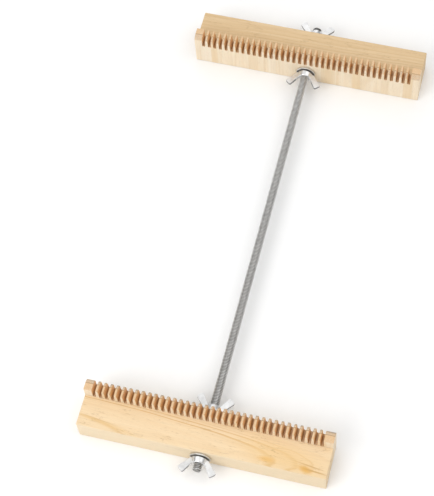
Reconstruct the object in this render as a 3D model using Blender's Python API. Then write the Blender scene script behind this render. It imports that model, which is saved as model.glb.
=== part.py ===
"""Adjustable tabletop loom.

Two pine bars stand across one threaded rod. Each bar is a block with a comb board glued to its
inner side, and it is clamped between two wing nuts with a washer under each.

Metres, Z up. X runs along the bars, Y along the rod from the front bar to the rear bar, and the
bars stand on Z = 0.
"""
import math

import bmesh
import bpy
from mathutils import Matrix, Vector

# Bars
BAR_LENGTH = 0.250          # both bars, end to end
INNER_SPAN = 0.410          # between the two combs' inner faces
BLOCK_DEPTH = 0.0317        # pine block, along the rod
BLOCK_HEIGHT = 0.028
BLOCK_EASING = 0.0010       # chamfer along the block's outer edges
GLUE_LINE = 0.0003          # between block and comb board

# Combs
COMB_DEPTH = 0.0130         # comb board, along the rod
RIDGE_HEIGHT = 0.0140       # teeth above the block's top face
SHOULDER_RADIUS = 0.0055    # rounding of the teeth towards the weaving side
SHOULDER_STEPS = 5
SLOT_PITCH = 0.00635
SLOT_TOP_WIDTH = 0.0039
SLOT_FLOOR_WIDTH = 0.0028
FIRST_SLOT_INSET = 0.0100   # left end to the first slot's centre
LAST_SLOT_MARGIN = 0.0100   # least wood from the last slot's centre to the right end

# Rod
ROD_DIAMETER = 0.0095
ROD_AXIS_HEIGHT = 0.0150
ROD_END_CHAMFER = 0.0010
ROD_PROUD_FRONT = 0.0068    # past the front outer nut's hub
ROD_PROUD_REAR = 0.0043     # past the rear outer nut's hub

# Washers
WASHER_DIAMETER = 0.0210
WASHER_THICKNESS = 0.0018

# Wing nuts
HUB_BASE_DIAMETER = 0.0160
HUB_TOP_DIAMETER = 0.0128
HUB_HEIGHT = 0.0060
WING_SPAN = 0.0392          # tip to tip, before the tips' corners are rounded
WING_REACH = 0.0174         # bearing face to the inner tip corners, before rounding
WING_ROOT_SPAN = 0.0184     # between the wings' outer edges, down by the bearing face
WING_THICKNESS = 0.0028
WING_TIP_WIDTH = 0.0060     # how far a tip's cut end runs in towards the rod
WING_TIP_DROP = 0.0049      # how far it falls back towards the bar
WING_CORNER_RADIUS = 0.0020
WING_BASE_LAND = 0.0009     # the wings start this far off the bearing face
WING_TOP_LAND = 0.0007      # their inner edges meet the hub this far below its top
WING_ROOT_COVER = 0.0006    # and start this deep inside it

# Clearances
SEAT_GAP = 0.0003           # bar to washer and washer to nut
BAR_BORE_CLEARANCE = 0.0005     # on the radius
WASHER_BORE_CLEARANCE = 0.0004  # on the radius
NUT_BORE_CLEARANCE = 0.00036    # on the radius
CUT_OVERRUN = 0.0020        # cutters run past the surface they open

# Facets
ROUND_SIDES = 32
SLOT_FLOOR_STEPS = 4
WING_CORNER_STEPS = 3
CREASE_ANGLE = 30.0         # degrees; flatter joins are shaded smooth
WHOLE_PITCH_SLACK = 1e-6    # keeps a row of slots that fits exactly

BAR_DEPTH = BLOCK_DEPTH + GLUE_LINE + COMB_DEPTH
COMB_HEIGHT = BLOCK_HEIGHT + RIDGE_HEIGHT
OUTER_FACE = INNER_SPAN / 2 + BAR_DEPTH
NUT_SEAT = SEAT_GAP + WASHER_THICKNESS + SEAT_GAP   # bar face to the nut's bearing face
ROD_FRONT_END = -(OUTER_FACE + NUT_SEAT + HUB_HEIGHT + ROD_PROUD_FRONT)
ROD_REAR_END = OUTER_FACE + NUT_SEAT + HUB_HEIGHT + ROD_PROUD_REAR


def clear_scene():
    """Remove whatever the file opened with."""
    for obj in list(bpy.data.objects):
        bpy.data.objects.remove(obj, do_unlink=True)


def make_material(name, colour, roughness, metallic):
    """A plain Principled material."""
    material = bpy.data.materials.new(name)
    material.use_nodes = True
    shader = material.node_tree.nodes["Principled BSDF"]
    shader.inputs["Base Color"].default_value = (*colour, 1.0)
    shader.inputs["Roughness"].default_value = roughness
    shader.inputs["Metallic"].default_value = metallic
    return material


def add_object(name, bm, material=None):
    """Turn a bmesh into a named object with outward normals and smooth round faces."""
    bmesh.ops.recalc_face_normals(bm, faces=bm.faces)
    mesh = bpy.data.meshes.new(name)
    bm.to_mesh(mesh)
    bm.free()
    mesh.shade_smooth()
    mesh.set_sharp_from_angle(angle=math.radians(CREASE_ANGLE))
    if material is not None:
        mesh.materials.append(material)
    obj = bpy.data.objects.new(name, mesh)
    bpy.context.scene.collection.objects.link(obj)
    return obj


def add_prism(bm, outline, start, end):
    """Extrude a closed outline of 3-D points from start to end, both offset vectors."""
    base = bm.faces.new([bm.verts.new(Vector(point) + start) for point in outline])
    extruded = bmesh.ops.extrude_face_region(bm, geom=[base], use_keep_orig=True)
    moved = [item for item in extruded["geom"] if isinstance(item, bmesh.types.BMVert)]
    bmesh.ops.translate(bm, verts=moved, vec=end - start)


def add_turned(bm, profile, is_ring):
    """Turn (radius, y) points about the Y axis; a ring joins its last point to its first."""
    rings = []
    for radius, along in profile:
        angles = [2 * math.pi * side / ROUND_SIDES for side in range(ROUND_SIDES)]
        points = [(radius * math.cos(a), along, radius * math.sin(a)) for a in angles]
        rings.append([bm.verts.new(point) for point in points])
    joins = list(zip(rings, rings[1:]))
    if is_ring:
        joins.append((rings[-1], rings[0]))
    else:
        bm.faces.new(rings[0])
        bm.faces.new(rings[-1])
    for lower, upper in joins:
        for side in range(ROUND_SIDES):
            following = (side + 1) % ROUND_SIDES
            bm.faces.new((lower[side], lower[following], upper[following], upper[side]))


def add_cutter(name, bm):
    """A hidden solid that only cuts or joins."""
    cutter = add_object(name, bm)
    cutter.hide_render = True
    cutter.display_type = "WIRE"
    return cutter


def combine(obj, other, operation):
    """Add an exact Boolean modifier to an object."""
    modifier = obj.modifiers.new(other.name, "BOOLEAN")
    modifier.solver = "EXACT"
    modifier.operation = operation
    modifier.object = other


def make_bore_cutter(name, clearance, start, end):
    """A round cutter about the Y axis, wider than the rod by the clearance."""
    radius = ROD_DIAMETER / 2 + clearance
    bm = bmesh.new()
    add_turned(bm, [(radius, start - CUT_OVERRUN), (radius, end + CUT_OVERRUN)], False)
    return add_cutter(name, bm)


def arc_points(centre, radius, start_angle, end_angle, steps):
    """Points along an arc, both ends included."""
    turns = [start_angle + (end_angle - start_angle) * step / steps for step in range(steps + 1)]
    return [(centre[0] + radius * math.cos(a), centre[1] + radius * math.sin(a)) for a in turns]


def round_corner(before, corner, after, radius, steps):
    """The points that replace an outline's corner by an arc."""
    corner = Vector(corner)
    to_before = (Vector(before) - corner).normalized()
    to_after = (Vector(after) - corner).normalized()
    half_angle = to_before.angle(to_after) / 2
    centre = corner + (to_before + to_after).normalized() * radius / math.sin(half_angle)
    first = corner + to_before * radius / math.tan(half_angle) - centre
    last = corner + to_after * radius / math.tan(half_angle) - centre
    sweep = first.angle_signed(last)
    return [centre + Matrix.Rotation(-sweep * step / steps, 2) @ first for step in range(steps + 1)]


def place_on_rod(obj, along, faces_front):
    """Put an object's origin on the rod's axis; faces_front turns its +Y towards the front."""
    obj.location = (0.0, along, ROD_AXIS_HEIGHT)
    if faces_front:
        obj.rotation_euler = (0.0, 0.0, math.pi)


def bar_outline_points(outline, is_front):
    """Bar sections are drawn from the inner face outwards; mirror them for the front bar."""
    side = -1 if is_front else 1
    return [(0.0, side * depth, height) for depth, height in outline]


def make_block(name, is_front, material):
    """Pine block, drawn as (depth from the inner face, height) and extruded along X."""
    inner = COMB_DEPTH + GLUE_LINE
    outer = BAR_DEPTH
    ease = BLOCK_EASING
    outline = [
        (inner, 0.0),
        (outer - ease, 0.0),
        (outer, ease),
        (outer, BLOCK_HEIGHT - ease),
        (outer - ease, BLOCK_HEIGHT),
        (inner, BLOCK_HEIGHT),
    ]
    return make_bar_piece(name, outline, is_front, material)


def make_comb(name, is_front, material):
    """Comb board with a rounded shoulder on the weaving side and a row of slots."""
    radius = SHOULDER_RADIUS
    shoulder = arc_points((radius, COMB_HEIGHT - radius), radius, math.pi, math.pi / 2, SHOULDER_STEPS)
    outline = [(COMB_DEPTH, COMB_HEIGHT), (COMB_DEPTH, 0.0), (0.0, 0.0)] + shoulder
    comb = make_bar_piece(name, outline, is_front, material)
    combine(comb, make_slot_cutter(name + "_slots", is_front), "DIFFERENCE")
    return comb


def make_bar_piece(name, outline, is_front, material):
    """Extrude a bar section over the bar's length and drill it for the rod.

    The origin is on the rod's axis at the bar's inner face, where the bar swivels.
    """
    half = BAR_LENGTH / 2
    lowered = [(depth, height - ROD_AXIS_HEIGHT) for depth, height in outline]
    bm = bmesh.new()
    points = bar_outline_points(lowered, is_front)
    add_prism(bm, points, Vector((-half, 0.0, 0.0)), Vector((half, 0.0, 0.0)))
    piece = add_object(name, bm, material)
    bore = make_bore_cutter(name + "_bore", BAR_BORE_CLEARANCE, -BAR_DEPTH, BAR_DEPTH)
    combine(piece, bore, "DIFFERENCE")
    inner_face = INNER_SPAN / 2
    for obj in (piece, bore):
        place_on_rod(obj, -inner_face if is_front else inner_face, False)
    return piece


def slot_centres():
    """X of every slot: a row at the pitch from the first slot to the right-hand margin."""
    room = BAR_LENGTH - FIRST_SLOT_INSET - LAST_SLOT_MARGIN
    gaps = math.floor(room / SLOT_PITCH + WHOLE_PITCH_SLACK)
    first = -BAR_LENGTH / 2 + FIRST_SLOT_INSET
    return [first + SLOT_PITCH * gap for gap in range(gaps + 1)]


def make_slot_cutter(name, is_front):
    """All slots of one comb: round-floored, a little wider at the top, floor level with the block."""
    radius = SLOT_FLOOR_WIDTH / 2
    flare = (SLOT_TOP_WIDTH - SLOT_FLOOR_WIDTH) / 2 / (RIDGE_HEIGHT - radius)
    mouth = RIDGE_HEIGHT + CUT_OVERRUN
    mouth_half = radius + flare * (mouth - radius)
    floor = arc_points((0.0, radius), radius, -math.pi, 0.0, SLOT_FLOOR_STEPS)
    outline = floor + [(mouth_half, mouth), (-mouth_half, mouth)]
    base = BLOCK_HEIGHT - ROD_AXIS_HEIGHT
    reach = COMB_DEPTH + CUT_OVERRUN
    bm = bmesh.new()
    for centre in slot_centres():
        points = [(centre + across, 0.0, base + up) for across, up in outline]
        add_prism(bm, points, Vector((0.0, -reach, 0.0)), Vector((0.0, reach, 0.0)))
    cutter = add_cutter(name, bm)
    inner_face = INNER_SPAN / 2
    place_on_rod(cutter, -inner_face if is_front else inner_face, False)
    return cutter


def make_rod(name, material):
    """Rod at the thread's outside diameter, with chamfered ends."""
    radius = ROD_DIAMETER / 2
    tip = radius - ROD_END_CHAMFER
    profile = [
        (tip, ROD_FRONT_END),
        (radius, ROD_FRONT_END + ROD_END_CHAMFER),
        (radius, ROD_REAR_END - ROD_END_CHAMFER),
        (tip, ROD_REAR_END),
    ]
    bm = bmesh.new()
    add_turned(bm, profile, False)
    rod = add_object(name, bm, material)
    place_on_rod(rod, 0.0, False)
    return rod


def make_washer_mesh(material):
    """Flat washer with its bearing face at y = 0, growing along +Y."""
    outer = WASHER_DIAMETER / 2
    inner = ROD_DIAMETER / 2 + WASHER_BORE_CLEARANCE
    bm = bmesh.new()
    profile = [(inner, 0.0), (outer, 0.0), (outer, WASHER_THICKNESS), (inner, WASHER_THICKNESS)]
    add_turned(bm, profile, True)
    return take_mesh(add_object("washer", bm, material))


def wing_outline():
    """Outline of both wings in one plate, as (x, y) from the bearing face."""
    root_outer = (WING_ROOT_SPAN / 2, WING_BASE_LAND)
    tip_outer = (WING_SPAN / 2, WING_REACH - WING_TIP_DROP)
    tip_inner = (WING_SPAN / 2 - WING_TIP_WIDTH, WING_REACH)
    root_inner = (HUB_TOP_DIAMETER / 2 - WING_ROOT_COVER, HUB_HEIGHT - WING_TOP_LAND)
    radius = WING_CORNER_RADIUS
    right = [Vector(root_outer)]
    right += round_corner(root_outer, tip_outer, tip_inner, radius, WING_CORNER_STEPS)
    right += round_corner(tip_outer, tip_inner, root_inner, radius, WING_CORNER_STEPS)
    right += [Vector(root_inner)]
    left = [Vector((-point.x, point.y)) for point in reversed(right)]
    return right + left


def make_wing_nut_mesh(material):
    """Wing nut with its bearing face at y = 0: a tapered hub, two wings and the bore."""
    bm = bmesh.new()
    add_turned(bm, [(HUB_BASE_DIAMETER / 2, 0.0), (HUB_TOP_DIAMETER / 2, HUB_HEIGHT)], False)
    nut = add_object("wing_nut", bm, material)
    bm = bmesh.new()
    points = [(point.x, point.y, 0.0) for point in wing_outline()]
    half = Vector((0.0, 0.0, WING_THICKNESS / 2))
    add_prism(bm, points, -half, half)
    wings = add_cutter("wing_plate", bm)
    bore = make_bore_cutter("nut_bore", NUT_BORE_CLEARANCE, 0.0, HUB_HEIGHT)
    combine(nut, wings, "UNION")
    combine(nut, bore, "DIFFERENCE")
    mesh = take_mesh(nut)
    for helper in (wings, bore):
        bpy.data.objects.remove(helper, do_unlink=True)
    return mesh


def take_mesh(obj):
    """Keep an object's finished mesh for its copies and remove the object."""
    mesh = bpy.data.meshes.new_from_object(obj.evaluated_get(bpy.context.evaluated_depsgraph_get()))
    bpy.data.objects.remove(obj, do_unlink=True)
    return mesh


def add_copy(name, mesh, along, faces_front):
    """One washer or wing nut on the rod."""
    obj = bpy.data.objects.new(name, mesh)
    bpy.context.scene.collection.objects.link(obj)
    place_on_rod(obj, along, faces_front)


def make_fasteners(material):
    """A washer and a wing nut on both faces of both bars."""
    washer = make_washer_mesh(material)
    nut = make_wing_nut_mesh(material)
    seats = [
        ("front_outer", -OUTER_FACE, True),
        ("front_inner", -INNER_SPAN / 2, False),
        ("rear_inner", INNER_SPAN / 2, True),
        ("rear_outer", OUTER_FACE, False),
    ]
    for place, face, faces_front in seats:
        outward = -1 if faces_front else 1
        add_copy(place + "_washer", washer, face + outward * SEAT_GAP, faces_front)
        add_copy(place + "_wing_nut", nut, face + outward * NUT_SEAT, faces_front)


def main():
    clear_scene()
    block_pine = make_material("block_pine", (0.86, 0.69, 0.44), 0.55, 0.0)
    comb_pine = make_material("comb_pine", (0.87, 0.72, 0.50), 0.60, 0.0)
    rod_zinc = make_material("rod_zinc", (0.52, 0.52, 0.51), 0.45, 1.0)
    bright_zinc = make_material("bright_zinc", (0.80, 0.81, 0.82), 0.28, 1.0)
    for side, is_front in (("front", True), ("rear", False)):
        make_block(side + "_block", is_front, block_pine)
        make_comb(side + "_comb", is_front, comb_pine)
    make_rod("threaded_rod", rod_zinc)
    make_fasteners(bright_zinc)


main()
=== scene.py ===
import math
import random

import bmesh
import bpy
from mathutils import Matrix, Vector, noise


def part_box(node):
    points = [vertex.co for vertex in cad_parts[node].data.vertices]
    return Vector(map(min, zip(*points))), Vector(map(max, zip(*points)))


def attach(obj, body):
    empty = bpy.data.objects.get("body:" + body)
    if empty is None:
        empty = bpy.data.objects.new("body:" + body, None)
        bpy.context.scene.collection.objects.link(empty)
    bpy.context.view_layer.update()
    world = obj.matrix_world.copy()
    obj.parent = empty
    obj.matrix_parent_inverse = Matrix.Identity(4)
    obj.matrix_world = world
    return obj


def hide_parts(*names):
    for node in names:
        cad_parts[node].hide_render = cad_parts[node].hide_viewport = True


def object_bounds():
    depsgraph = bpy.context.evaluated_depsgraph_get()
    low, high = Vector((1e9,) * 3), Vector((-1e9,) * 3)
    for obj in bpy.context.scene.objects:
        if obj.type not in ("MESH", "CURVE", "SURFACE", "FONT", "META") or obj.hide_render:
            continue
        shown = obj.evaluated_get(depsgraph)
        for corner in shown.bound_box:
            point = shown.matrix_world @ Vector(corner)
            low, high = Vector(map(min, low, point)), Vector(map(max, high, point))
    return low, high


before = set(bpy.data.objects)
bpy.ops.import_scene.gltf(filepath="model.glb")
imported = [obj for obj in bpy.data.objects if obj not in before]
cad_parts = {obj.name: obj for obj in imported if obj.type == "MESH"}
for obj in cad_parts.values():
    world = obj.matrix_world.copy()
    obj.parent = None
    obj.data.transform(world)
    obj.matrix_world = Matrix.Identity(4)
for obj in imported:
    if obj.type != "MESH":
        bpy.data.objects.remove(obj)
cad_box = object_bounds()

# Lengths are metres. X runs along the bars, Y along the rod from front to rear, Z is up.

# Camera and studio
CAMERA_POSITION = (0.2269, -0.7342, 1.4711)
CAMERA_TURN = (27.181, 1.812, 13.704)       # degrees about X, Y and Z
CAMERA_LENS = 115.05                        # millimetres, for a 36 mm long side
CAMERA_SHIFT = (-0.0907, 0.0040)
FLOOR_HALF = 6.0
FLOOR_DROP = 0.0002                         # keeps the floor just clear of the bars' undersides
SKY_OVERHEAD = (0.95, 0.95, 0.945)
SKY_LOW = (0.17, 0.17, 0.175)
SKY_TURNS = (0.18, 0.76)                    # heights where the low sky ends and the overhead one begins
SOFTBOXES = (                               # name, place, width and height, watts; all face the origin
    ("key", (-0.9, -1.6, 1.4), (1.8, 1.8), 23.0),
    ("fill", (1.4, 0.2, 1.7), (1.8, 1.8), 6.0),
    ("back", (-0.6, 2.1, 1.1), (2.0, 1.4), 7.0))

# All meshes
SHARP_DEGREES = 35              # faces that meet at more than this show an edge

# Bars
AXIS_HEIGHT = (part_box("threaded_rod")[0].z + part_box("threaded_rod")[1].z) / 2
BAR_BORE_RADIUS = 0.00525
BLOCK_EDGE_ROUNDING = 0.0011
COMB_EDGE_ROUNDING = 0.0006
GRID_STEP = 0.0045              # spacing of the cuts that let a board's faces undulate
BOARD_WAVE = 0.00009            # how far hand sanding leaves a board out of true
BOARD_WAVE_LENGTH = 0.021
CUT_OVERRUN = 0.002             # how far a drill runs past both faces
DRILL_AXLE_RADIUS = 0.0002
DRILL_STEPS = 48

# Comb teeth
SLOT_COUNT = 37
SLOT_PITCH = 0.00635
FIRST_SLOT_INSET = 0.0100
SLOT_FLOOR_WIDTH = 0.0029
SLOT_TOP_WIDTH = 0.0040
SLOT_WANDER = 0.00013           # how far a slot's sides stray from their marks
SHOULDER_RADIUS = 0.0055
ROUTED_FADE = (0.0065, 0.0050)  # depths below the ridge where the routed tone ends and where it is full
TIP_FADE = (0.0062, 0.0040)     # the same for the greyed tips, burn marks with painted shade
FLOOR_FADE = (0.0030, 0.0040)   # heights above a slot's floor where its painted shade is full and where it ends
SHADE_RISE = 0.0062              # how far up a slot's walls the painted shade of its bottom reaches
STRIPS_PER_METRE = 120.0

# Rod
THREAD_PITCH = 0.0015875
THREAD_STEPS = 24               # faces round one turn
THREAD_CREST = 0.00470
THREAD_ROOT = 0.00388
ROD_END_BEVEL = 0.0009
ROD_END_INSET = 0.0002          # the flat end is this much smaller than the thread's root

# Washers and wing nuts
WASHER_BORE_RADIUS = 0.00515
WASHER_ROUNDING = 0.0004
WASHER_STEPS = 96
HUB_BASE_RADIUS = 0.0080
HUB_TOP_RADIUS = 0.0064
HUB_HEIGHT = 0.0060
HUB_FOOT_BEVEL = 0.0009
NUT_BORE_RADIUS = 0.00492
NUT_COUNTERSINK = 0.0005
WING_THICKNESS = 0.0028
WING_SPAN = 0.0392
WING_REACH = 0.0174
WING_ROOT_SPAN = 0.0184
WING_BASE_LAND = 0.0009
WING_TOP_LAND = 0.0007
WING_ROOT_COVER = 0.0004         # how deep the wings' inner corners start inside the hub
WING_TIP_WIDTH = 0.0060
WING_TIP_DROP = 0.0049
WING_TIP_ROUNDING = 0.0020
WING_EDGE_ROUNDING = 0.0009
WING_ROOT_SWELL = 0.0027         # half thickness where the wings run into the hub
WING_SWELL_ENDS = (0.0058, 0.0140)   # how far out the swelling starts and ends
WING_SWELL_STEPS = 8
NUT_VOXEL = 0.00022

# Zinc: a bright and a dull tone of the plating, and dark tones for painted shade on the nuts, washers
# and rod
NUT_ZINC = ((0.88, 0.88, 0.88), (0.76, 0.76, 0.76))
WASHER_ZINC = ((0.74, 0.715, 0.68), (0.62, 0.60, 0.565))
ROD_ZINC = ((0.90, 0.90, 0.89), (0.77, 0.77, 0.76))
WING_EDGE_SHADE_TONE = (0.19, 0.19, 0.185)
WASHER_FACE_SHADE_TONE = (0.15, 0.135, 0.12)
ROD_SHADE_TONE = (0.16, 0.15, 0.14)

# Comb boards where they are cut, with painted shade in the slots and on the tips
COMB_TONES = {
    "brown strip": (0.80, 0.60, 0.36), "pale strip": (0.90, 0.80, 0.66),
    "wall": (0.84, 0.50, 0.24), "wall fibre": (0.96, 0.70, 0.44), "wall patch": (0.78, 0.49, 0.21),
    "orange tooth": (0.84, 0.54, 0.22), "brown tooth": (0.70, 0.40, 0.20),
    "slot bottom shade": (0.45, 0.23, 0.085),
    "shoulder": (0.50, 0.39, 0.29), "ridge": (0.68, 0.43, 0.22), "torn fibre": (0.82, 0.60, 0.38),
    "ridge patch": (0.72, 0.43, 0.20), "crease": (0.33, 0.19, 0.09), "tip": (0.36, 0.29, 0.23)}

# Boards, in millimetres: where the pith line passes in Y and Z, how it leans along the grain, the ring
# width, how much the grain sways and ripples, and the tones of the wood
ALONG_BAR = (0.0, 0.0, 0.0)
UPRIGHT = (0.0, math.radians(90), 0.0)
CREAM = {"spring": (0.92, 0.785, 0.60), "late": (0.77, 0.57, 0.34), "pale": (0.90, 0.77, 0.58),
         "end": (0.58, 0.37, 0.20), "patches": ()}
FRONT_BLOCK = {
    "turn": ALONG_BAR, "pith": (-248.0, -34.0), "lean": (-0.06, 0.055), "ring": 2.1, "sway": 5.0,
    "ripple": 0.9, "ring_strength": 0.20, "streaks": 0.18, "dashes": 0.52,
    "bold_rings": ((57.9, 0.26, 0.55), (65.7, 0.26, 0.85), (66.9, 0.20, 0.80), (67.8, 0.12, 0.50)),
    "patches": ((((78.0, -236.0, 28.0), (66.0, 20.0, 24.0), -0.10), (0.82, 0.575, 0.285), 0.75),
                (((64.0, -243.0, 28.0), (12.0, 4.5, 9.0), 0.0), (0.80, 0.49, 0.17), 0.80),
                (((103.0, -244.5, 28.0), (10.0, 5.0, 9.0), -0.15), (0.72, 0.40, 0.09), 0.85),
                (((106.0, -240.2, 28.0), (20.0, 1.1, 6.0), -0.13), (0.60, 0.36, 0.14), 0.75),
                (((113.0, -244.8, 28.0), (17.0, 1.2, 6.0), -0.08), (0.56, 0.32, 0.10), 0.80),
                (((-98.0, -243.0, 28.0), (44.0, 3.6, 9.0), -0.16), (0.78, 0.54, 0.26), 0.70),
                (((-106.0, -240.0, 28.0), (24.0, 0.9, 9.0), -0.13), (0.64, 0.41, 0.17), 0.60)),
    "spring": (0.86, 0.67, 0.435), "late": (0.68, 0.43, 0.18), "pale": (0.845, 0.715, 0.52),
    "end": (0.74, 0.56, 0.34)}
REAR_BLOCK = {
    "turn": ALONG_BAR, "pith": (262.0, -60.0), "lean": (-0.045, 0.0), "ring": 1.25, "sway": 9.0,
    "ripple": 1.2, "ring_strength": 0.68, "streaks": 0.46, "dashes": 0.50, "bold_rings": (),
    "patches": (), "spring": (0.75, 0.56, 0.34), "late": (0.62, 0.42, 0.21), "pale": (0.86, 0.70, 0.48),
    "end": (0.70, 0.52, 0.31)}
FRONT_COMB = {
    "turn": UPRIGHT, "pith": (-240.0, 40.0), "lean": (0.0, 0.05), "ring": 6.0, "sway": 20.0,
    "ripple": 1.5, "ring_strength": 0.45, "streaks": 0.35, "dashes": 0.15, "bold_rings": (), **CREAM}
REAR_COMB = {
    "turn": UPRIGHT, "pith": (255.0, -60.0), "lean": (0.0, 0.05), "ring": 7.5, "sway": 24.0,
    "ripple": 1.5, "ring_strength": 0.45, "streaks": 0.40, "dashes": 0.15, "bold_rings": (), **CREAM}


# ---------------------------------------------------------------- meshes

def finish_mesh(name, bm, material, sharp_degrees=SHARP_DEGREES):
    """Turn a bmesh into a named object at the origin, shaded smooth with crisp edges."""
    mesh = bpy.data.meshes.new(name)
    bm.to_mesh(mesh)
    bm.free()
    mesh.shade_smooth()
    mesh.set_sharp_from_angle(angle=math.radians(sharp_degrees))
    mesh.materials.append(material)
    obj = bpy.data.objects.new(name, mesh)
    bpy.context.scene.collection.objects.link(obj)
    return obj


def apply_modifiers(obj):
    """Replace an object's mesh with its evaluated one and drop the modifiers."""
    bpy.context.view_layer.update()
    evaluated = obj.evaluated_get(bpy.context.evaluated_depsgraph_get())
    finished = bpy.data.meshes.new_from_object(evaluated)
    obj.modifiers.clear()
    obj.data = finished


def create_box(low, high):
    """A cube fitted to two corners."""
    bm = bmesh.new()
    bmesh.ops.create_cube(bm, size=1.0)
    bmesh.ops.scale(bm, vec=high - low, verts=bm.verts)
    bmesh.ops.translate(bm, vec=(low + high) / 2, verts=bm.verts)
    return bm


def cut(bm, point, normal):
    """Score a plane right through a mesh."""
    geometry = bm.verts[:] + bm.edges[:] + bm.faces[:]
    bmesh.ops.bisect_plane(bm, geom=geometry, plane_co=point, plane_no=normal)


def cut_grid(bm, low, high, axis):
    """Score evenly spaced planes across one axis."""
    normal = Vector((0.0, 0.0, 0.0))
    normal[axis] = 1.0
    length = high[axis] - low[axis]
    count = max(2, round(length / GRID_STEP))
    for step in range(1, count):
        cut(bm, low + normal * length * step / count, normal)


def bevel_edges(bm, edges, width, segments):
    bmesh.ops.bevel(bm, geom=edges, offset=width, segments=segments, affect="EDGES", profile=0.5,
                    material=-1, clamp_overlap=True)


def sharp_edges(bm, degrees=40):
    """Edges between faces that meet at more than the given angle."""
    limit = math.radians(degrees)
    return [edge for edge in bm.edges if edge.calc_face_angle(0.0) > limit]


def sand_by_hand(bm, seed):
    """Leave the faces slightly out of true, more across the grain than along it."""
    bm.normal_update()
    shift = Vector((seed * 3.7, seed * 1.9, seed * 5.3))
    moves = []
    for vert in bm.verts:
        place = Vector((vert.co.x * 0.35, vert.co.y, vert.co.z)) / BOARD_WAVE_LENGTH + shift
        moves.append(vert.normal * (noise.noise(place) - 0.5) * BOARD_WAVE)
    for vert, move in zip(bm.verts, moves):
        vert.co += move


def turned(profile, steps, centre):
    """Spin a closed profile of (radius, y) points about an axis along Y through the centre."""
    bm = bmesh.new()
    verts = [bm.verts.new((centre.x + radius, y, centre.z)) for radius, y in profile]
    edges = [bm.edges.new((verts[i], verts[(i + 1) % len(verts)])) for i in range(len(verts))]
    bmesh.ops.spin(bm, geom=verts + edges, cent=centre, axis=(0.0, 1.0, 0.0), angle=2 * math.pi,
                   steps=steps, use_merge=True, use_normal_flip=False, use_duplicate=False)
    bmesh.ops.remove_doubles(bm, verts=bm.verts, dist=1e-6)
    bmesh.ops.recalc_face_normals(bm, faces=bm.faces)
    return bm


def make_drill(radius, low_y, high_y, countersink):
    """A closed turned cutter on the rod's axis, wider past both ends if it countersinks."""
    start, end = low_y - CUT_OVERRUN, high_y + CUT_OVERRUN
    profile = [(DRILL_AXLE_RADIUS, start), (radius + countersink, start)]
    if countersink:
        profile += [(radius + countersink, low_y), (radius, low_y + countersink)]
        profile += [(radius, high_y - countersink), (radius + countersink, high_y)]
    profile += [(radius + countersink, end), (DRILL_AXLE_RADIUS, end)]
    centre = Vector((0.0, 0.0, AXIS_HEIGHT))
    bm = turned(profile, DRILL_STEPS, centre)
    near_axis = DRILL_AXLE_RADIUS * 2
    axle = [face for face in bm.faces if all((v.co - centre).xz.length < near_axis for v in face.verts)]
    bmesh.ops.delete(bm, geom=axle, context="FACES")
    bmesh.ops.holes_fill(bm, edges=bm.edges, sides=0)
    bmesh.ops.recalc_face_normals(bm, faces=bm.faces)
    mesh = bpy.data.meshes.new("drill")
    bm.to_mesh(mesh)
    bm.free()
    cutter = bpy.data.objects.new("drill", mesh)
    bpy.context.scene.collection.objects.link(cutter)
    return cutter


def drill(obj, radius, low_y, high_y, countersink=0.0):
    """Cut a hole for the rod through a piece, with a countersink at both ends if asked."""
    cutter = make_drill(radius, low_y, high_y, countersink)
    modifier = obj.modifiers.new("bore", "BOOLEAN")
    modifier.operation = "DIFFERENCE"
    modifier.solver = "EXACT"
    modifier.object = cutter
    apply_modifiers(obj)
    bpy.data.objects.remove(cutter, do_unlink=True)
    obj.data.shade_smooth()
    obj.data.set_sharp_from_angle(angle=math.radians(SHARP_DEGREES))


def weight_normals(obj):
    """Keep big flat faces flat beside their rounded edges."""
    modifier = obj.modifiers.new("flat faces", "WEIGHTED_NORMAL")
    modifier.keep_sharp = True
    modifier.weight = 80


# ---------------------------------------------------------------- bars

def meet_glue_line(low, high, other_low, other_high):
    """Run a board's glued face out to the middle of the gap beside it."""
    if low > other_high:
        return (low + other_high) / 2, high
    return low, (high + other_low) / 2


def make_block(name, body, material, seed):
    """Pine block: rounded long edges, faces slightly out of true, drilled for the rod."""
    low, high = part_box(name)
    comb_low, comb_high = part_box(name.replace("block", "comb"))
    low.y, high.y = meet_glue_line(low.y, high.y, comb_low.y, comb_high.y)
    bm = create_box(low, high)
    glue_side = low.y if abs(low.y) < abs(high.y) else high.y
    free = [e for e in bm.edges if any(abs(v.co.y - glue_side) > 1e-6 for v in e.verts)]
    bevel_edges(bm, free, BLOCK_EDGE_ROUNDING, 4)
    for axis in range(3):
        cut_grid(bm, low, high, axis)
    sand_by_hand(bm, seed)
    block = finish_mesh(name + "_pine", bm, material)
    drill(block, BAR_BORE_RADIUS, low.y, high.y)
    weight_normals(block)
    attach(block, body)
    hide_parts(name)


def slot_sides(low, wander):
    """Left and right edge of every slot floor, each a little off its mark."""
    first = low.x + FIRST_SLOT_INSET
    half = SLOT_FLOOR_WIDTH / 2
    sides = []
    for index in range(SLOT_COUNT):
        centre = first + SLOT_PITCH * index + wander.uniform(-1, 1) * SLOT_WANDER
        spread = half + wander.uniform(-0.5, 0.5) * SLOT_WANDER
        sides.append((centre - spread, centre + spread))
    return sides


def in_slot(face, sides):
    """Whether a face lies between the two sides of a slot."""
    x = face.calc_center_median().x
    return any(left < x < right for left, right in sides)


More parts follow.
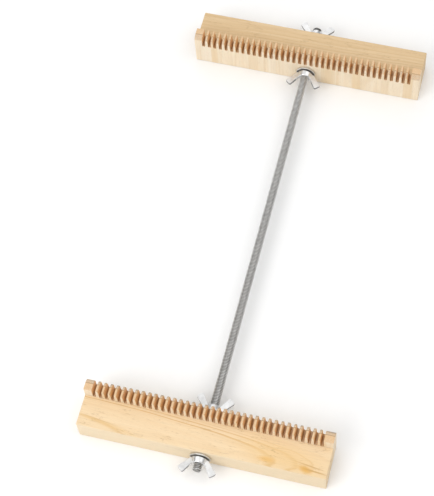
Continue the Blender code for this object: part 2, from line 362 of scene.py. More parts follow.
def raise_teeth(bm, sides, top, wander):
    """Extrude the wood between the slots up to the ridge and narrow it towards the top."""
    tops = [face for face in bm.faces if face.normal.z > 0.9 and not in_slot(face, sides)]
    grown = bmesh.ops.extrude_discrete_faces(bm, faces=tops)["faces"]
    for face in grown:
        centre = face.calc_center_median()
        width = max(v.co.x for v in face.verts) - min(v.co.x for v in face.verts)
        lean = wander.uniform(-1, 1) * SLOT_WANDER
        narrowed = width - (SLOT_TOP_WIDTH - SLOT_FLOOR_WIDTH)
        is_end_block = abs(centre.x) > abs(sides[-1][1])
        scale = 1.0 if is_end_block else narrowed / width
        for vert in face.verts:
            vert.co.x = centre.x + (vert.co.x - centre.x) * scale + (0.0 if is_end_block else lean)
            vert.co.z = top


def round_slot_floors(bm, floor):
    """Bevel the corners where the tooth walls meet the slot floors into a round bottom."""
    corners = []
    for edge in bm.edges:
        a, b = (v.co for v in edge.verts)
        along_rod = abs(a.y - b.y) > 1e-5 and abs(a.x - b.x) < 1e-5
        if along_rod and abs(a.z - floor) < 1e-6 and edge.calc_face_angle_signed(0.0) < -0.5:
            corners.append(edge)
    bmesh.ops.bevel(bm, geom=corners, offset=SLOT_FLOOR_WIDTH * 0.47, segments=4, affect="EDGES",
                    profile=0.5, material=-1, clamp_overlap=False)


def round_shoulders(bm, inner_y, top):
    """Round the teeth over towards the weaving side."""
    shoulders = []
    for edge in bm.edges:
        a, b = (v.co for v in edge.verts)
        at_inner = abs(a.y - inner_y) < 1e-6 and abs(b.y - inner_y) < 1e-6
        if at_inner and abs(a.z - top) < 1e-6 and abs(b.z - top) < 1e-6:
            shoulders.append(edge)
    bmesh.ops.bevel(bm, geom=shoulders, offset=SHOULDER_RADIUS, segments=6, affect="EDGES",
                    profile=0.5, material=-1, clamp_overlap=False)


def at_glued_foot(edge, glue_y, floor):
    """Whether an edge lies on the glued face, from the slot floors down, where it meets the block."""
    on_face = all(abs(v.co.y - glue_y) < 1e-6 for v in edge.verts)
    return on_face and all(v.co.z < floor + SLOT_FLOOR_WIDTH / 2 for v in edge.verts)


def make_comb(name, body, material, seed):
    """Comb board: slots with round floors, teeth rounded over towards the weaving side."""
    low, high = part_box(name)
    block_low, block_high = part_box(name.replace("comb", "block"))
    floor = block_high.z
    low.y, high.y = meet_glue_line(low.y, high.y, block_low.y, block_high.y)
    inner_y = low.y if abs(low.y) < abs(high.y) else high.y
    glue_y = high.y if inner_y == low.y else low.y
    wander = random.Random(seed)
    bm = create_box(low, Vector((high.x, high.y, floor)))
    sides = slot_sides(low, wander)
    for left, right in sides:
        cut(bm, (left, 0.0, 0.0), (1.0, 0.0, 0.0))
        cut(bm, (right, 0.0, 0.0), (1.0, 0.0, 0.0))
    raise_teeth(bm, sides, high.z, wander)
    bmesh.ops.remove_doubles(bm, verts=bm.verts, dist=1e-6)
    bmesh.ops.recalc_face_normals(bm, faces=bm.faces)
    round_slot_floors(bm, floor)
    bm.normal_update()
    round_shoulders(bm, inner_y, high.z)
    bm.normal_update()
    eased = [e for e in sharp_edges(bm, 50) if not at_glued_foot(e, glue_y, floor)]
    bevel_edges(bm, eased, COMB_EDGE_ROUNDING, 2)
    sand_by_hand(bm, seed)
    comb = finish_mesh(name + "_pine", bm, material)
    drill(comb, BAR_BORE_RADIUS, low.y, high.y)
    weight_normals(comb)
    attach(comb, body)
    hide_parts(name)


# ---------------------------------------------------------------- hardware

def make_thread_turn(start_y):
    """One turn of the thread: crest, flank, root and flank swept along a helix."""
    bm = bmesh.new()
    crest_end = THREAD_PITCH * 0.15
    root_start = THREAD_PITCH * 0.45
    root_end = THREAD_PITCH * 0.70
    section = [(THREAD_CREST, 0.0), (THREAD_CREST, crest_end), (THREAD_ROOT, root_start),
               (THREAD_ROOT, root_end), (THREAD_CREST, THREAD_PITCH)]
    verts = [bm.verts.new((radius, start_y + y, AXIS_HEIGHT)) for radius, y in section]
    edges = [bm.edges.new(pair) for pair in zip(verts, verts[1:])]
    bmesh.ops.spin(bm, geom=verts + edges, cent=(0.0, 0.0, AXIS_HEIGHT), axis=(0.0, 1.0, 0.0),
                   dvec=(0.0, THREAD_PITCH / THREAD_STEPS, 0.0), angle=2 * math.pi, steps=THREAD_STEPS,
                   use_merge=False, use_duplicate=False)
    return bm


def repeat_turns(bm, turns_needed):
    """Double the thread along Y until it is long enough."""
    turns = 1
    while turns < turns_needed:
        copy = bmesh.ops.duplicate(bm, geom=bm.verts[:] + bm.edges[:] + bm.faces[:])
        moved = [item for item in copy["geom"] if isinstance(item, bmesh.types.BMVert)]
        bmesh.ops.translate(bm, verts=moved, vec=(0.0, THREAD_PITCH * turns, 0.0))
        turns *= 2
    bmesh.ops.remove_doubles(bm, verts=bm.verts, dist=2e-6)


def close_rod_end(bm, end_y, direction):
    """Saw the thread off square, then turn a small bevel and the flat end."""
    saw = Vector((0.0, end_y - direction * ROD_END_BEVEL, 0.0))
    geometry = bm.verts[:] + bm.edges[:] + bm.faces[:]
    bmesh.ops.bisect_plane(bm, geom=geometry, plane_co=saw, plane_no=(0.0, direction, 0.0),
                           clear_outer=True)
    rim = [e for e in bm.edges if e.is_boundary and all(abs(v.co.y - saw.y) < 1e-6 for v in e.verts)]
    grown = bmesh.ops.extrude_edge_only(bm, edges=rim)["geom"]
    verts = [item for item in grown if isinstance(item, bmesh.types.BMVert)]
    edges = [item for item in grown if isinstance(item, bmesh.types.BMEdge)]
    for vert in verts:
        spoke = Vector((vert.co.x, vert.co.z - AXIS_HEIGHT)).normalized()
        radius = THREAD_ROOT - ROD_END_INSET
        vert.co = (spoke.x * radius, end_y, AXIS_HEIGHT + spoke.y * radius)
    bmesh.ops.edgeloop_fill(bm, edges=edges)


def make_rod(material):
    """Threaded rod with its whole thread."""
    low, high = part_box("threaded_rod")
    bm = make_thread_turn(low.y - 2 * THREAD_PITCH)
    repeat_turns(bm, (high.y - low.y) / THREAD_PITCH + 4)
    close_rod_end(bm, high.y, 1.0)
    close_rod_end(bm, low.y, -1.0)
    bmesh.ops.recalc_face_normals(bm, faces=bm.faces)
    rod = finish_mesh("rod_thread", bm, material, 25)
    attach(rod, "rod")
    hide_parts("threaded_rod")


def make_washer(place, body, material):
    """Flat washer with rolled edges."""
    name = place + "_washer"
    low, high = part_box(name)
    outer = (high.x - low.x) / 2
    inner = WASHER_BORE_RADIUS
    corners = [(inner, low.y), (outer, low.y), (outer, high.y), (inner, high.y)]
    bm = bmesh.new()
    bm.faces.new([bm.verts.new((radius, y, AXIS_HEIGHT)) for radius, y in corners])
    bmesh.ops.bevel(bm, geom=bm.verts[:], offset=WASHER_ROUNDING, segments=3, affect="VERTICES",
                    profile=0.5, material=-1)
    bm.faces.ensure_lookup_table()
    profile = [(v.co.x, v.co.y) for v in bm.faces[0].verts]
    bm.free()
    bm = turned(profile, WASHER_STEPS, Vector((0.0, 0.0, AXIS_HEIGHT)))
    washer = finish_mesh(name + "_plate", bm, material, 40)
    weight_normals(washer)
    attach(washer, body)
    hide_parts(name)


def wing_plate():
    """Both wings as one plate lying flat, from the bearing face at y = 0 towards +Y."""
    root_outer = (WING_ROOT_SPAN / 2, WING_BASE_LAND)
    tip_outer = (WING_SPAN / 2, WING_REACH - WING_TIP_DROP)
    tip_inner = (WING_SPAN / 2 - WING_TIP_WIDTH, WING_REACH)
    root_inner = (HUB_TOP_RADIUS - WING_ROOT_COVER, HUB_HEIGHT - WING_TOP_LAND)
    right = [root_outer, tip_outer, tip_inner, root_inner]
    outline = right + [(-x, y) for x, y in reversed(right)]
    bm = bmesh.new()
    verts = [bm.verts.new((x, y, -WING_THICKNESS / 2)) for x, y in outline]
    tips = [v for v in verts if v.co.y > HUB_HEIGHT]
    bm.faces.new(verts)
    bmesh.ops.bevel(bm, geom=tips, offset=WING_TIP_ROUNDING, segments=6, affect="VERTICES",
                    profile=0.5, material=-1)
    extruded = bmesh.ops.extrude_face_region(bm, geom=bm.faces[:], use_keep_orig=True)["geom"]
    moved = [item for item in extruded if isinstance(item, bmesh.types.BMVert)]
    bmesh.ops.translate(bm, verts=moved, vec=(0.0, 0.0, WING_THICKNESS))
    bmesh.ops.recalc_face_normals(bm, faces=bm.faces)
    swell_roots(bm)
    bevel_edges(bm, sharp_edges(bm, 60), WING_EDGE_ROUNDING, 3)
    return bm


def swell_roots(bm):
    """Thicken the wings smoothly towards the hub, as a casting does."""
    start, end = WING_SWELL_ENDS
    for step in range(WING_SWELL_STEPS + 1):
        reach = start + (end - start) * step / WING_SWELL_STEPS
        cut(bm, (reach, 0.0, 0.0), (1.0, 0.0, 0.0))
        cut(bm, (-reach, 0.0, 0.0), (1.0, 0.0, 0.0))
    half = WING_THICKNESS / 2
    for vert in bm.verts:
        outward = min(1.0, max(0.0, (abs(vert.co.x) - start) / (end - start)))
        thick = WING_ROOT_SWELL + (half - WING_ROOT_SWELL) * outward
        vert.co.z *= thick / half


def make_nut_mesh(material):
    """A cast wing nut, axis along Y, bearing face at y = 0."""
    hub = bmesh.new()
    bmesh.ops.create_cone(hub, cap_ends=True, segments=64, radius1=HUB_BASE_RADIUS,
                          radius2=HUB_TOP_RADIUS, depth=HUB_HEIGHT)
    bevel_edges(hub, sharp_edges(hub, 50), HUB_FOOT_BEVEL, 3)
    bmesh.ops.rotate(hub, verts=hub.verts, cent=(0, 0, 0), matrix=Matrix.Rotation(-math.pi / 2, 3, "X"))
    bmesh.ops.translate(hub, verts=hub.verts, vec=(0.0, HUB_HEIGHT / 2, 0.0))
    bmesh.ops.recalc_face_normals(hub, faces=hub.faces)
    hub_mesh = bpy.data.meshes.new("hub")
    hub.to_mesh(hub_mesh)
    hub.free()
    casting = wing_plate()
    casting.from_mesh(hub_mesh)
    nut = finish_mesh("casting", casting, material)
    remesh = nut.modifiers.new("cast skin", "REMESH")
    remesh.mode = "VOXEL"
    remesh.voxel_size = NUT_VOXEL
    remesh.use_smooth_shade = True
    smooth = nut.modifiers.new("fillets", "SMOOTH")
    smooth.factor = 0.5
    smooth.iterations = 5
    apply_modifiers(nut)
    return nut


def make_wing_nut(place, body, opens_front, casting, material):
    """Copy the casting to its seat, drill it and let it ride on its body."""
    name = place + "_wing_nut"
    low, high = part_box(name)
    bm = bmesh.new()
    bm.from_mesh(casting.data)
    if opens_front:
        bmesh.ops.rotate(bm, verts=bm.verts, cent=(0, 0, 0), matrix=Matrix.Rotation(math.pi, 3, "Z"))
    seat = high.y if opens_front else low.y
    bmesh.ops.translate(bm, verts=bm.verts, vec=(0.0, seat, AXIS_HEIGHT))
    nut = finish_mesh(name + "_casting", bm, material, 60)
    ends = sorted((seat, seat - HUB_HEIGHT if opens_front else seat + HUB_HEIGHT))
    drill(nut, NUT_BORE_RADIUS, ends[0], ends[1], NUT_COUNTERSINK)
    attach(nut, body)
    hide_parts(name)


# ---------------------------------------------------------------- materials

class Finish:
    """A Principled material and short calls for the nodes that shape it."""

    def __init__(self, name):
        self.material = bpy.data.materials.new(name)
        self.material.use_nodes = True
        self.tree = self.material.node_tree
        self.shader = self.tree.nodes["Principled BSDF"]

    def node(self, kind, **settings):
        node = self.tree.nodes.new(kind)
        for key, value in settings.items():
            setattr(node, key, value)
        return node

    def link(self, source, target):
        self.tree.links.new(source, target)

    def feed(self, socket, value):
        """Link a socket, or set it when the value is a plain one."""
        if isinstance(value, bpy.types.NodeSocket):
            self.link(value, socket)
        else:
            socket.default_value = value

    def math(self, operation, *values):
        node = self.node("ShaderNodeMath", operation=operation)
        for socket, value in zip(node.inputs, values):
            self.feed(socket, value)
        return node.outputs[0]

    def vector(self, operation, *values):
        node = self.node("ShaderNodeVectorMath", operation=operation)
        for socket, value in zip(node.inputs, values):
            self.feed(socket, value)
        return node.outputs["Value" if operation == "LENGTH" else "Vector"]

    def place(self, move=(0, 0, 0), turn=(0, 0, 0), scale=(1, 1, 1)):
        """Object coordinates, moved, turned and stretched."""
        coordinates = self.node("ShaderNodeTexCoord")
        mapping = self.node("ShaderNodeMapping")
        mapping.inputs["Location"].default_value = move
        mapping.inputs["Rotation"].default_value = turn
        mapping.inputs["Scale"].default_value = scale
        self.link(coordinates.outputs["Object"], mapping.inputs["Vector"])
        return mapping.outputs["Vector"]

    def stretch(self, vector, scale, move=(0, 0, 0)):
        return self.vector("MULTIPLY_ADD", vector, scale, move)

    def noise(self, vector, scale=1.0, detail=3.0, roughness=0.5, colour=False):
        node = self.node("ShaderNodeTexNoise")
        self.link(vector, node.inputs["Vector"])
        node.inputs["Scale"].default_value = scale
        node.inputs["Detail"].default_value = detail
        node.inputs["Roughness"].default_value = roughness
        return node.outputs["Color" if colour else "Fac"]

    def ramp(self, factor, stops):
        """Grey ramp from (position, brightness) stops."""
        node = self.node("ShaderNodeValToRGB")
        while len(node.color_ramp.elements) < len(stops):
            node.color_ramp.elements.new(0.5)
        for element, (position, grey) in zip(node.color_ramp.elements, stops):
            element.position = position
            element.color = (grey, grey, grey, 1.0)
        self.feed(node.inputs["Fac"], factor)
        return node.outputs["Color"]

    def mix(self, factor, first, second, blend="MIX"):
        node = self.node("ShaderNodeMix", data_type="RGBA", blend_type=blend)
        self.feed(node.inputs["Factor"], factor)
        for socket, value in ((node.inputs[6], first), (node.inputs[7], second)):
            if isinstance(value, bpy.types.NodeSocket):
                self.link(value, socket)
            else:
                socket.default_value = (*value, 1.0)
        return node.outputs[2]

    def span(self, value, low, high, new_low=0.0, new_high=1.0):
        """Ease smoothly from one value to another while the input runs from low to high."""
        node = self.node("ShaderNodeMapRange", interpolation_type="SMOOTHSTEP")
        for socket, number in zip(node.inputs, (value, low, high, new_low, new_high)):
            self.feed(socket, number)
        return node.outputs["Result"]

    def bump(self, layers):
        """Stack bump layers of (height, strength, depth in metres) into the shader's normal."""
        below = None
        for height, strength, depth in layers:
            node = self.node("ShaderNodeBump")
            node.inputs["Strength"].default_value = strength
            node.inputs["Distance"].default_value = depth
            self.link(height, node.inputs["Height"])
            if below is not None:
                self.link(below, node.inputs["Normal"])
            below = node.outputs["Normal"]
        self.link(below, self.shader.inputs["Normal"])


def object_normal(finish):
    """The face's own direction, split along X, Y and Z."""
    coordinates = finish.node("ShaderNodeTexCoord")
    split = finish.node("ShaderNodeSeparateXYZ")
    finish.link(coordinates.outputs["Normal"], split.inputs["Vector"])
    return split.outputs


def split_vector(finish, vector):
    node = finish.node("ShaderNodeSeparateXYZ")
    finish.link(vector, node.inputs["Vector"])
    return node.outputs


def soft_patch(wood, grain, patch, ripple):
    """How far a point lies inside a long soft patch: (place, reach, slope), all in millimetres."""
    place, reach, slope = patch
    offset = wood.vector("SUBTRACT", grain, place)
    x, y, z = split_vector(wood, offset)
    level = wood.math("MULTIPLY_ADD", x, -slope, y)
    joined = wood.node("ShaderNodeCombineXYZ")
    for socket, part, length in zip(joined.inputs, (x, level, z), reach):
        wood.link(wood.math("DIVIDE", part, length), socket)
    wavering = wood.vector("MULTIPLY_ADD", ripple, [0.5 / reach[1]] * 3, joined.outputs[0])
    return wood.span(wood.vector("LENGTH", wavering), 0.15, 1.0, 1.0, 0.0)


def growth_rings(wood, grain, board, ripple):
    """Summer wood of each ring round a pith line that leans and wavers along the board."""
    sway = wood.noise(wood.stretch(grain, (0.006, 0.012, 0.012)), detail=2.0, colour=True)
    sway = wood.vector("SUBTRACT", sway, (0.5, 0.5, 0.5))
    sway = wood.vector("MULTIPLY", sway, (0.0, board["sway"], board["sway"] * 0.3))
    bent = wood.vector("ADD", wood.vector("ADD", grain, sway), ripple)
    x, y, z = split_vector(wood, wood.vector("SUBTRACT", bent, (0.0, *board["pith"])))
    lean_y, lean_z = board["lean"]
    across = wood.math("MULTIPLY_ADD", x, lean_y, y)
    depth = wood.math("MULTIPLY_ADD", x, lean_z, z)
    radius = wood.math("SQRT", wood.math("ADD", wood.math("MULTIPLY", across, across),
                                         wood.math("MULTIPLY", depth, depth)))
    year = wood.math("DIVIDE", radius, board["ring"])
    season = wood.math("FRACT", year)
    which = wood.node("ShaderNodeTexWhiteNoise", noise_dimensions="1D")
    wood.link(wood.math("FLOOR", year), which.inputs["W"])
    strength = wood.span(which.outputs["Value"], 0.0, 1.0, 0.25, 1.0)
    summer = wood.ramp(season, [(0.0, 0.10), (0.08, 0.0), (0.40, 0.04), (0.72, 0.34), (0.88, 1.0),
                                (0.96, 0.75), (1.0, 0.10)])
    summer = wood.math("MULTIPLY", wood.math("MULTIPLY", summer, strength), board["ring_strength"])
    for line_radius, half_width, line_strength in board["bold_rings"]:
        inside = wood.span(radius, line_radius - half_width * 2.2, line_radius, 0.0, line_strength)
        outside = wood.span(radius, line_radius, line_radius + half_width * 0.8, 1.0, 0.0)
        summer = wood.math("MAXIMUM", summer, wood.math("MULTIPLY", inside, outside))
    return summer


def fibres(wood, grain):
    """Broad streaks, fibres, single hairs, short wavy dashes and resin ducts."""
    broad = wood.noise(wood.stretch(grain, (0.006, 0.16, 0.16)), detail=4.0, roughness=0.55)
    fibre = wood.noise(wood.stretch(grain, (0.035, 1.5, 1.5)), detail=5.0, roughness=0.62)
    hair = wood.noise(wood.stretch(grain, (0.12, 6.5, 6.5)), detail=3.0, roughness=0.7)
    wavy = wood.noise(wood.stretch(grain, (0.040, 0.34, 0.34)), detail=2.0, roughness=0.6)
    wavy = wood.span(wood.math("ABSOLUTE", wood.math("SUBTRACT", wavy, 0.5)), 0.0, 0.024, 1.0, 0.0)
    gaps = wood.noise(wood.stretch(grain, (0.05, 0.12, 0.12), (31, 7, 3)), detail=2.0)
    dash = wood.math("MULTIPLY", wavy, wood.span(gaps, 0.50, 0.60))
    duct = wood.noise(wood.stretch(grain, (0.20, 2.9, 2.9), (17, 5, 9)), detail=0.0)
    return broad, fibre, hair, dash, wood.span(duct, 0.735, 0.80)


def pine(name, board, slots=None):
    """Solid pine, the same all through, so its faces and end grain agree. Lengths are millimetres."""
    wood = Finish(name)
    grain = wood.place(turn=board["turn"], scale=(1000, 1000, 1000))
    ripple = wood.noise(wood.stretch(grain, (0.03, 0.20, 0.20)), detail=3.0, colour=True)
    ripple = wood.vector("SUBTRACT", ripple, (0.5, 0.5, 0.5))
    ripple = wood.vector("MULTIPLY", ripple, (0.0, board["ripple"], board["ripple"] * 0.5))
    summer = growth_rings(wood, grain, board, ripple)
    broad, fibre, hair, dash, duct = fibres(wood, grain)

    spring, late, pale = board["spring"], board["late"], board["pale"]
    colour = wood.mix(summer, spring, late)
    colour = wood.mix(wood.span(broad, 0.32, 0.72, 0.0, board["streaks"]), colour, late)
    for patch, tone, strength in board["patches"]:
        inside = soft_patch(wood, grain, patch, ripple)
        colour = wood.mix(wood.math("MULTIPLY", inside, strength), colour, tone)
    colour = wood.mix(wood.math("MULTIPLY", dash, board["dashes"]), colour, [c * 0.72 for c in late])
    fine = wood.ramp(fibre, [(0.25, 0.88), (0.50, 1.0), (0.78, 1.06)])
    colour = wood.mix(0.75, colour, fine, "MULTIPLY")
    colour = wood.mix(wood.math("MULTIPLY", duct, 0.35), colour, [c * 0.55 for c in late])

    # Quarter faces are paler; end grain is darker and shows the rings as arcs
    normal = object_normal(wood)
    if slots is None:
        quarter = wood.span(wood.math("ABSOLUTE", normal[1]), 0.45, 0.95)
        colour = wood.mix(wood.math("MULTIPLY", quarter, 0.62), colour, pale)
    along = normal[0] if slots is None else normal[2]
    ends = wood.span(wood.math("ABSOLUTE", along), 0.55, 0.95)
    colour = wood.mix(wood.math("MULTIPLY", ends, 0.75), colour, wood.mix(0.6, board["end"], colour))

    rough = wood.span(fibre, 0.2, 0.8, 0.50, 0.66)
    heights = [(summer, 0.30, 0.00006), (fibre, 0.35, 0.00008), (hair, 0.30, 0.00004)]
    if slots is not None:
        colour, rough = comb_marks_and_shade(wood, colour, rough, normal, slots, heights)
    wood.link(colour, wood.shader.inputs["Base Color"])
    wood.link(rough, wood.shader.inputs["Roughness"])
    wood.shader.inputs["Specular IOR Level"].default_value = 0.30
    wood.bump(heights)
    return wood.material


def tint_strips(wood, colour, x):
    """Strips of slightly different wood stand side by side along the comb board."""
    strip = wood.node("ShaderNodeTexVoronoi", voronoi_dimensions="1D")
    wood.link(x, strip.inputs["W"])
    strip.inputs["Scale"].default_value = STRIPS_PER_METRE
    tint, fade, _ = split_vector(wood, strip.outputs["Color"])
    colour = wood.mix(wood.span(tint, 0.55, 0.85, 0.0, 0.52), colour, COMB_TONES["brown strip"])
    return wood.mix(wood.span(fade, 0.0, 0.40, 0.45, 0.0), colour, COMB_TONES["pale strip"])


def tooth_values(wood, x, half_length):
    """Two random values for each tooth, so that no two look alike."""
    tooth = wood.node("ShaderNodeTexWhiteNoise", noise_dimensions="1D")
    number = wood.math("DIVIDE", wood.math("ADD", x, half_length - FIRST_SLOT_INSET), SLOT_PITCH)
    wood.link(wood.math("FLOOR", number), tooth.inputs["W"])
    hue, shade, _ = split_vector(wood, tooth.outputs["Color"])
    return hue, shade


def wall_tone(wood, speck, patch, hue, shade, bottom_shade):
    """A slot's walls, of its own brown on every tooth: the saw's scorch with painted shade, and painted
    shade at the bottom.
    """
    tone = wood.mix(wood.span(speck, 0.36, 0.66), COMB_TONES["wall"], COMB_TONES["wall fibre"])
    tone = wood.mix(wood.span(patch, 0.35, 0.65, 0.0, 0.60), tone, COMB_TONES["wall patch"])
    tone = wood.mix(wood.span(hue, 0.0, 1.0, 0.0, 0.45), tone, COMB_TONES["orange tooth"])
    tone = wood.mix(wood.span(shade, 0.4, 1.0, 0.0, 0.40), tone, COMB_TONES["brown tooth"])
    return wood.mix(wood.math("MULTIPLY", bottom_shade, 0.85), tone, COMB_TONES["slot bottom shade"])


def ridge_tone(wood, speck, patch, flat):
    """Routed wood, browner on the flat ridge than on the shoulder, with pale torn fibre."""
    tone = wood.mix(flat, COMB_TONES["shoulder"], COMB_TONES["ridge"])
    tone = wood.mix(wood.span(speck, 0.38, 0.66), tone, COMB_TONES["torn fibre"])
    return wood.mix(wood.span(patch, 0.35, 0.65, 0.0, 0.45), tone, COMB_TONES["ridge patch"])


def comb_marks_and_shade(wood, colour, rough, normal, marks, heights):
    """Cut teeth: scorched slots with painted shade, darkest at the bottom, a browner routed top, a dark
    line at its crease, greyed tips with burn marks and painted shade.
    """
    normal_x, normal_y, normal_z = normal
    floor, top, half_length, shoulder_y = marks
    x, y, z = split_vector(wood, wood.place())
    patch = wood.noise(wood.place(scale=(330, 330, 330)), detail=3.0)
    speck = wood.noise(wood.place(scale=(1500, 1100, 1100)), detail=4.0, roughness=0.65)
    colour = tint_strips(wood, colour, x)
    hue, shade = tooth_values(wood, x, half_length)

    # Slot walls, light brown near the mouth: the saw's scorch with painted shade; painted shade in the
    # round bottoms
    wall = wood.span(wood.math("ABSOLUTE", normal_x), 0.35, 0.80)
    inner = wood.span(wood.math("ABSOLUTE", x), half_length - 0.0012, half_length - 0.0006, 1.0, 0.0)
    above = wood.span(z, floor - 0.0004, floor + 0.0003)
    wall = wood.math("MULTIPLY", wood.math("MULTIPLY", wall, inner), above)
    low = wood.span(z, floor + 0.0004, floor + SHADE_RISE, 1.0, 0.0)
    near_floor = wood.span(z, floor + FLOOR_FADE[0], floor + FLOOR_FADE[1], 1.0, 0.0)
    bed = wood.math("MULTIPLY", wood.span(normal_z, 0.15, 0.45), above)
    bed = wood.math("MULTIPLY", bed, near_floor)
    bed = wood.math("MULTIPLY", bed, inner)
    scorch_and_shade = wood.math("MAXIMUM", wall, bed)
    burn_and_shade = wall_tone(wood, speck, patch, hue, shade, wood.math("MAXIMUM", low, bed))
    colour = wood.mix(wood.math("MULTIPLY", scorch_and_shade, 0.92), colour, burn_and_shade)

    # Routed top and shoulder, the line between them, and the greyed tips: burn marks with painted shade
    near_top = wood.span(z, top - ROUTED_FADE[0], top - ROUTED_FADE[1])
    routed = wood.math("MULTIPLY", wood.span(normal_z, 0.10, 0.50), near_top)
    reach = wood.math("ABSOLUTE", y)
    flat = wood.span(reach, shoulder_y - 0.0008, shoulder_y + 0.0008)
    tone = ridge_tone(wood, speck, patch, flat)
    colour = wood.mix(wood.math("MULTIPLY", routed, 0.80), colour, tone)
    crease = wood.math("ABSOLUTE", wood.math("SUBTRACT", reach, shoulder_y))
    crease = wood.math("MULTIPLY", wood.span(crease, 0.0002, 0.0007, 1.0, 0.0), routed)
    colour = wood.mix(wood.math("MULTIPLY", crease, 0.60), colour, COMB_TONES["crease"])
    # Greyed tips on the faces turned towards +Y: burn marks with painted shade
    tip = wood.span(z, top - TIP_FADE[0], top - TIP_FADE[1])
    tip = wood.math("MULTIPLY", wood.span(normal_y, 0.30, 0.75), tip)
    tip = wood.math("MULTIPLY", tip, wood.span(hue, 0.15, 0.80, 0.20, 0.75))
    colour = wood.mix(tip, colour, COMB_TONES["tip"])

    # Cutter arcs on the walls, torn fibre on the routed top
    arcs = wood.node("ShaderNodeTexWave", wave_type="RINGS", rings_direction="X")
    wood.link(wood.place(move=(0.0, 0.0, 0.055), scale=(0.0, 1.0, 1.0)), arcs.inputs["Vector"])
    arcs.inputs["Scale"].default_value = 900.0
    arcs.inputs["Distortion"].default_value = 1.5
    heights.append((wood.math("MULTIPLY", arcs.outputs["Fac"], wall), 0.25, 0.00005))
    heights.append((wood.math("MULTIPLY", speck, routed), 0.5, 0.00012))
    rough = wood.math("MULTIPLY_ADD", scorch_and_shade, 0.12, rough)
    return colour, rough


def zinc(name, tones, roughness, grain_scale, grain_depth):
    """Zinc plate: patches of duller passivation, a fine skin and stray scratches."""
    bright, dull = tones
    metal = Finish(name)
    near = metal.place(scale=(1000, 1000, 1000))
    patches = metal.noise(near, scale=0.22, detail=4.0)
    clouds = metal.noise(near, scale=1.1, detail=3.0)
    skin = metal.noise(near, scale=grain_scale, detail=4.0, roughness=0.6)
    one_way = metal.noise(metal.stretch(near, (0.5, 9.0, 4.0)), detail=2.0)
    other_way = metal.noise(metal.stretch(near, (8.0, 0.6, 6.0), (3, 7, 1)), detail=2.0)
    scratches = metal.math("MAXIMUM", metal.span(one_way, 0.66, 0.74), metal.span(other_way, 0.67, 0.75))
    colour = metal.mix(metal.span(patches, 0.35, 0.70), bright, dull)
    colour = metal.mix(metal.math("MULTIPLY", scratches, 0.25), colour, [c * 0.72 for c in bright])
    rough = metal.span(clouds, 0.25, 0.75, *roughness)
    rough = metal.math("MULTIPLY_ADD", scratches, 0.10, rough)
    metal.link(rough, metal.shader.inputs["Roughness"])
    metal.shader.inputs["Metallic"].default_value = 1.0
    return metal, colour, [(skin, 0.35, grain_depth), (scratches, 0.20, 0.00001)]


def from_axis(metal):
    """Distance from the rod's axis, in millimetres."""
    spokes = metal.place(move=(0.0, 0.0, -AXIS_HEIGHT * 1000), scale=(1000, 0, 1000))
    return metal.vector("LENGTH", spokes)


def nut_finish():
    """Painted shade darkens the edges of the wings beyond the hub; their broad faces keep the plating's
    tone.
    """
    metal, colour, heights = zinc("zinc_nut", NUT_ZINC, (0.26, 0.40), 3.2, 0.00004)
    facing = metal.math("ABSOLUTE", object_normal(metal)[2])
    reach = from_axis(metal)
    wing = metal.span(reach, HUB_BASE_RADIUS * 1000 - 0.5, HUB_BASE_RADIUS * 1000 + 1.5)
    # Painted shade on the wings' edges, the faces that turn sideways
    edge = metal.math("MULTIPLY", metal.span(facing, 0.40, 0.98, 0.90, 0.0), wing)
    colour = metal.mix(edge, colour, WING_EDGE_SHADE_TONE)
    metal.link(colour, metal.shader.inputs["Base Color"])
    metal.bump(heights)
    return metal.material


def washer_finish():
    """Faint rings from turning under the nut, and painted shade darkening the face inside the rim, where
    the washer shows beside the nut.
    """
    metal, colour, heights = zinc("zinc_washer", WASHER_ZINC, (0.26, 0.46), 4.0, 0.00002)
    reach = from_axis(metal)
    wave = metal.node("ShaderNodeTexNoise", noise_dimensions="1D")
    metal.link(reach, wave.inputs["W"])
    wave.inputs["Scale"].default_value = 6.0
    heights.append((wave.outputs["Fac"], 0.35, 0.00003))
    outer = (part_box("front_outer_washer")[1].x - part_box("front_outer_washer")[0].x) * 500
    # Painted shade on the washer's face inside its rim
    seat = metal.span(reach, outer - 1.2, outer - 0.2, 1.0, 0.0)
    colour = metal.mix(metal.math("MULTIPLY", seat, 0.78), colour, WASHER_FACE_SHADE_TONE)
    metal.link(colour, metal.shader.inputs["Base Color"])
    metal.bump(heights)
    return metal.material


def rod_finish():
    """Painted shade darkens the thread's roots and the rod's rear end; the front end is darkened
    slightly.
    """
    metal, colour, heights = zinc("zinc_rod", ROD_ZINC, (0.28, 0.44), 3.6, 0.00003)
    reach = from_axis(metal)
    # Painted shade in the thread's roots
    root_shade = metal.span(reach, THREAD_ROOT * 1000 + 0.05, THREAD_CREST * 1000 - 0.12, 1.0, 0.0)
    colour = metal.mix(metal.math("MULTIPLY", root_shade, 0.78), colour, ROD_SHADE_TONE)
    # Painted shade towards the rod's rear end past its nut; the front end past its nut is darkened
    # slightly
    nut_end = (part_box("front_outer_washer")[0].y + HUB_HEIGHT) * -1000
    _, along, _ = split_vector(metal, metal.place(scale=(1000, 1000, 1000)))
    rear_end = metal.span(along, nut_end - 8.0, nut_end + 3.0, 0.0, 0.68)
    front_end = metal.span(along, -nut_end - 3.0, 8.0 - nut_end, 0.24, 0.0)
    darker_ends = metal.math("MAXIMUM", rear_end, front_end)
    colour = metal.mix(darker_ends, colour, ROD_SHADE_TONE)
    metal.link(colour, metal.shader.inputs["Base Color"])
    metal.bump(heights)
    return metal.material


# ---------------------------------------------------------------- studio

def make_camera():
    data = bpy.data.cameras.new("camera")
    data.lens = CAMERA_LENS
    data.sensor_width = 36.0
    data.shift_x, data.shift_y = CAMERA_SHIFT
    data.clip_start, data.clip_end = 0.05, 50.0
    camera = bpy.data.objects.new("camera", data)
    camera.location = CAMERA_POSITION
    camera.rotation_euler = [math.radians(angle) for angle in CAMERA_TURN]
    bpy.context.scene.collection.objects.link(camera)
    bpy.context.scene.camera = camera


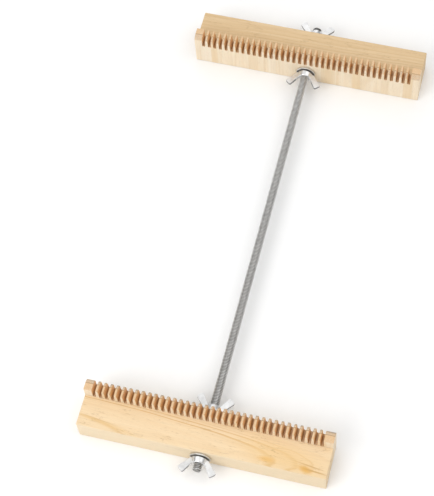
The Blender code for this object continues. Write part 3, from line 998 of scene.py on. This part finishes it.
def make_floor():
    paper = Finish("paper")
    speck = paper.noise(paper.place(scale=(60, 60, 60)), detail=2.0)
    shade = paper.ramp(speck, [(0.3, 0.955), (0.7, 0.965)])
    paper.link(shade, paper.shader.inputs["Base Color"])
    paper.shader.inputs["Roughness"].default_value = 0.9
    paper.shader.inputs["Specular IOR Level"].default_value = 0.1
    bm = bmesh.new()
    bmesh.ops.create_grid(bm, x_segments=2, y_segments=2, size=FLOOR_HALF)
    bmesh.ops.translate(bm, verts=bm.verts, vec=(0.0, 0.0, cad_box[0].z - FLOOR_DROP))
    finish_mesh("floor", bm, paper.material)


def add_softbox(name, place, size, power):
    data = bpy.data.lights.new(name, "AREA")
    data.shape = "RECTANGLE"
    data.size, data.size_y = size
    data.energy = power
    light = bpy.data.objects.new(name, data)
    light.location = place
    light.rotation_euler = (-Vector(place)).to_track_quat("-Z", "Y").to_euler()
    bpy.context.scene.collection.objects.link(light)


def make_sky():
    """Pale overhead, darker towards the horizon."""
    world = bpy.data.worlds.new("studio")
    world.use_nodes = True
    nodes, links = world.node_tree.nodes, world.node_tree.links
    direction = nodes.new("ShaderNodeTexCoord")
    split = nodes.new("ShaderNodeSeparateXYZ")
    links.new(direction.outputs["Generated"], split.inputs["Vector"])
    height = nodes.new("ShaderNodeMapRange")
    height.interpolation_type = "SMOOTHSTEP"
    height.inputs["From Min"].default_value = SKY_TURNS[0]
    height.inputs["From Max"].default_value = SKY_TURNS[1]
    links.new(split.outputs["Z"], height.inputs["Value"])
    sky = nodes.new("ShaderNodeMix")
    sky.data_type = "RGBA"
    links.new(height.outputs["Result"], sky.inputs["Factor"])
    sky.inputs[6].default_value = (*SKY_LOW, 1.0)
    sky.inputs[7].default_value = (*SKY_OVERHEAD, 1.0)
    links.new(sky.outputs[2], nodes["Background"].inputs["Color"])
    bpy.context.scene.world = world


def make_studio():
    bpy.context.scene.view_settings.view_transform = "Standard"
    make_sky()
    for softbox in SOFTBOXES:
        add_softbox(*softbox)
    make_floor()
    make_camera()


def make_loom():
    comb_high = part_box("front_comb")[1]
    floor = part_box("front_block")[1].z
    slots = (floor, comb_high.z, comb_high.x, abs(comb_high.y) + SHOULDER_RADIUS)
    block_front = pine("pine_block_front", FRONT_BLOCK)
    block_rear = pine("pine_block_rear", REAR_BLOCK)
    comb_front = pine("pine_comb_front", FRONT_COMB, slots)
    comb_rear = pine("pine_comb_rear", REAR_COMB, slots)
    make_block("front_block", "front_bar", block_front, seed=3)
    make_block("rear_block", "rear_bar", block_rear, seed=8)
    make_comb("front_comb", "front_bar", comb_front, seed=11)
    make_comb("rear_comb", "rear_bar", comb_rear, seed=27)
    make_rod(rod_finish())
    washer_metal = washer_finish()
    nut_metal = nut_finish()
    casting = make_nut_mesh(nut_metal)
    for place, opens_front in (("front_outer", True), ("front_inner", False),
                               ("rear_inner", True), ("rear_outer", False)):
        side = place.split("_")[0]
        make_washer(place, side + "_washers", washer_metal)
        make_wing_nut(place, place + "_nut", opens_front, casting, nut_metal)
    bpy.data.objects.remove(casting, do_unlink=True)


make_loom()
make_studio()
